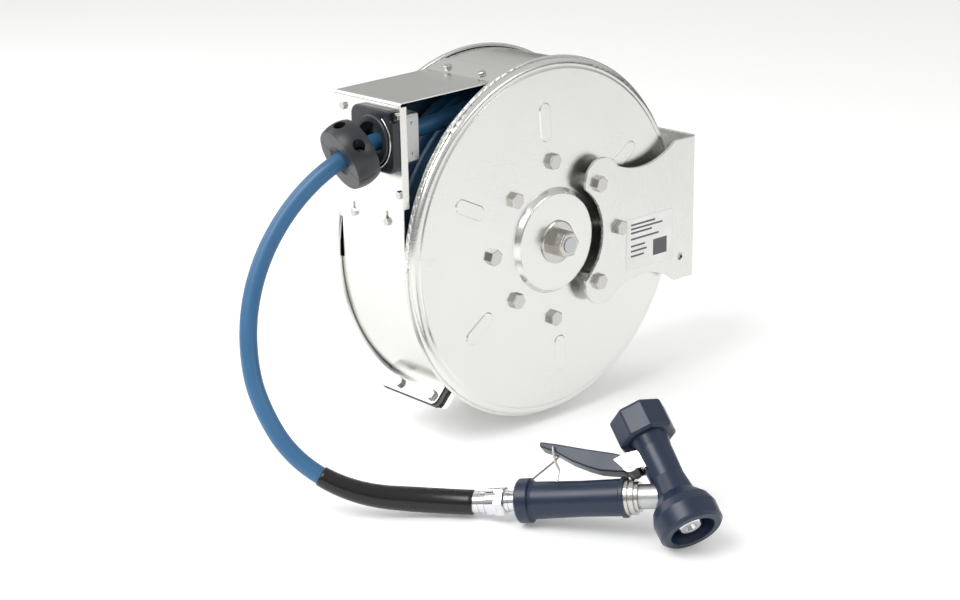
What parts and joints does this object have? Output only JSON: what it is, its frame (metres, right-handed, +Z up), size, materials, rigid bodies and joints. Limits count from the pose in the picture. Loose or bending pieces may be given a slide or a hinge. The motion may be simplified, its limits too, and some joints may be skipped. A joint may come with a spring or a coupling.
{
  "type": "hose reel",
  "caption": "Closed stainless spring-rewind hose reel on a U-shaped wall bracket, with a roller outlet, ball stop, wash-down hose and lever water gun.",
  "frame": {"origin": "centre of the mounting bracket's base, on its wall face", "axes": "+Z up, -Y away from the wall towards the hose outlet, X along the spindle with the label side at +X"},
  "size_m": [0.5539, 0.627, 0.4309],
  "materials": {
    "polished_stainless": "polished",
    "bracket_stainless": "brushed",
    "bolt_steel": "machined",
    "plain_steel": "satin",
    "spring_steel": "satin",
    "chrome": "polished",
    "bronze": "satin",
    "charcoal_plastic": "satin",
    "white_roller": "satin",
    "black_rubber": "satin",
    "navy_rubber": "satin",
    "blue_hose": "satin",
    "label_film": "satin"
  },
  "bodies": {
    "frame": {"near_cover": "polished_stainless", "far_cover": "polished_stainless", "front_wrap": "polished_stainless", "rear_wrap": "polished_stainless", "outlet_bracket": "polished_stainless", "mounting_bracket": "bracket_stainless", "cover_bolts": "bolt_steel", "arm_bolts": "bolt_steel", "arm_spacers": "bolt_steel", "seam_bolts": "bolt_steel", "plate_screws": "bolt_steel", "spindle_nut": "bolt_steel", "spindle_washer": "bolt_steel", "inlet_locknut": "bolt_steel", "hose_stop_screws": "bolt_steel", "guide_wire": "bolt_steel", "near_hub_plate": "plain_steel", "far_hub_plate": "plain_steel", "spindle": "plain_steel", "pawl_pin": "plain_steel", "roller_frame": "plain_steel", "roller_pins": "plain_steel", "pawl_spring": "spring_steel", "hose_ferrule": "chrome", "hose_guide": "charcoal_plastic", "hose_stop_upper": "charcoal_plastic", "hose_stop_lower": "charcoal_plastic", "seam_gasket": "black_rubber", "hose_sleeve": "black_rubber", "hose": "blue_hose", "hose_lead": "blue_hose", "label": "label_film"},
    "spool": {"spool_core": "plain_steel", "near_spool_flange": "plain_steel", "far_spool_flange": "plain_steel", "spool_bushes": "bronze", "seal_rings": "black_rubber", "spring_case_lid": "plain_steel", "feed_pipe": "plain_steel", "ratchet_wheel": "plain_steel", "wound_hose": "blue_hose", "rewind_spring": "spring_steel"},
    "pawl": {"pawl": "plain_steel"},
    "left_roller_body": {"left_roller": "white_roller"},
    "right_roller_body": {"right_roller": "white_roller"},
    "upper_roller_body": {"upper_roller": "white_roller"},
    "lower_roller_body": {"lower_roller": "white_roller"},
    "gun": {"hose_swivel": "chrome", "gun_pipe": "chrome", "gun_grip": "navy_rubber", "gun_nut": "bolt_steel", "gun_head": "plain_steel", "gun_cover": "navy_rubber", "gun_nozzle": "chrome", "lever_bracket": "bolt_steel", "lever_pin": "bolt_steel", "valve_spring": "spring_steel"},
    "lever_body": {"lever": "navy_rubber"},
    "valve": {"valve_stem": "plain_steel"},
    "clip": {"hold_clip": "bolt_steel"}
  },
  "joints": [
    {"name": "spool_spin", "type": "hinge", "parent": "frame", "child": "spool", "pos_m": [0, -0.23, 0], "axis": [1, 0, 0], "continuous": true, "deforming": ["rewind_spring"]},
    {"name": "pawl_tilt", "type": "hinge", "parent": "frame", "child": "pawl", "pos_m": [0.0566, -0.30517, -0.02736], "axis": [1, 0, 0], "range_deg": [0, 6], "stiffness_Nm_per_rad": 0.02},
    {"name": "left_roller_spin", "type": "hinge", "parent": "frame", "child": "left_roller_body", "pos_m": [0.0025, -0.427, 0.1465], "axis": [0, 0, 1], "continuous": true},
    {"name": "right_roller_spin", "type": "hinge", "parent": "frame", "child": "right_roller_body", "pos_m": [0.0355, -0.427, 0.1465], "axis": [0, 0, 1], "continuous": true},
    {"name": "upper_roller_spin", "type": "hinge", "parent": "frame", "child": "upper_roller_body", "pos_m": [0.019, -0.414, 0.163], "axis": [1, 0, 0], "continuous": true},
    {"name": "lower_roller_spin", "type": "hinge", "parent": "frame", "child": "lower_roller_body", "pos_m": [0.019, -0.414, 0.13], "axis": [1, 0, 0], "continuous": true},
    {"name": "gun_swivel", "type": "hinge", "parent": "frame", "child": "gun", "pos_m": [0.22733, -0.46593, -0.1997], "axis": [0.8585, 0.4885, 0.1564], "continuous": true},
    {"name": "lever_squeeze", "type": "hinge", "parent": "gun", "child": "lever_body", "pos_m": [0.33633, -0.3793, -0.15549], "axis": [0.2614, -0.679, 0.686], "range_deg": [0, 13], "stiffness_Nm_per_rad": 2, "springref_deg": -17.19},
    {"name": "valve_travel", "type": "slide", "parent": "gun", "child": "valve", "axis": [-0.7829, 0.2665, 0.5622], "range_m": [0, 0.0048], "deforming": ["valve_spring"]},
    {"name": "clip_swing", "type": "hinge", "parent": "lever_body", "child": "clip", "pos_m": [0.2548, -0.40755, -0.15238], "axis": [0.2614, -0.679, 0.686], "range_deg": [-20, 20]}
  ],
  "couplings": [
    {"joint": "valve_travel", "follows": "lever_squeeze", "m_per_rad": 0.021}
  ]
}
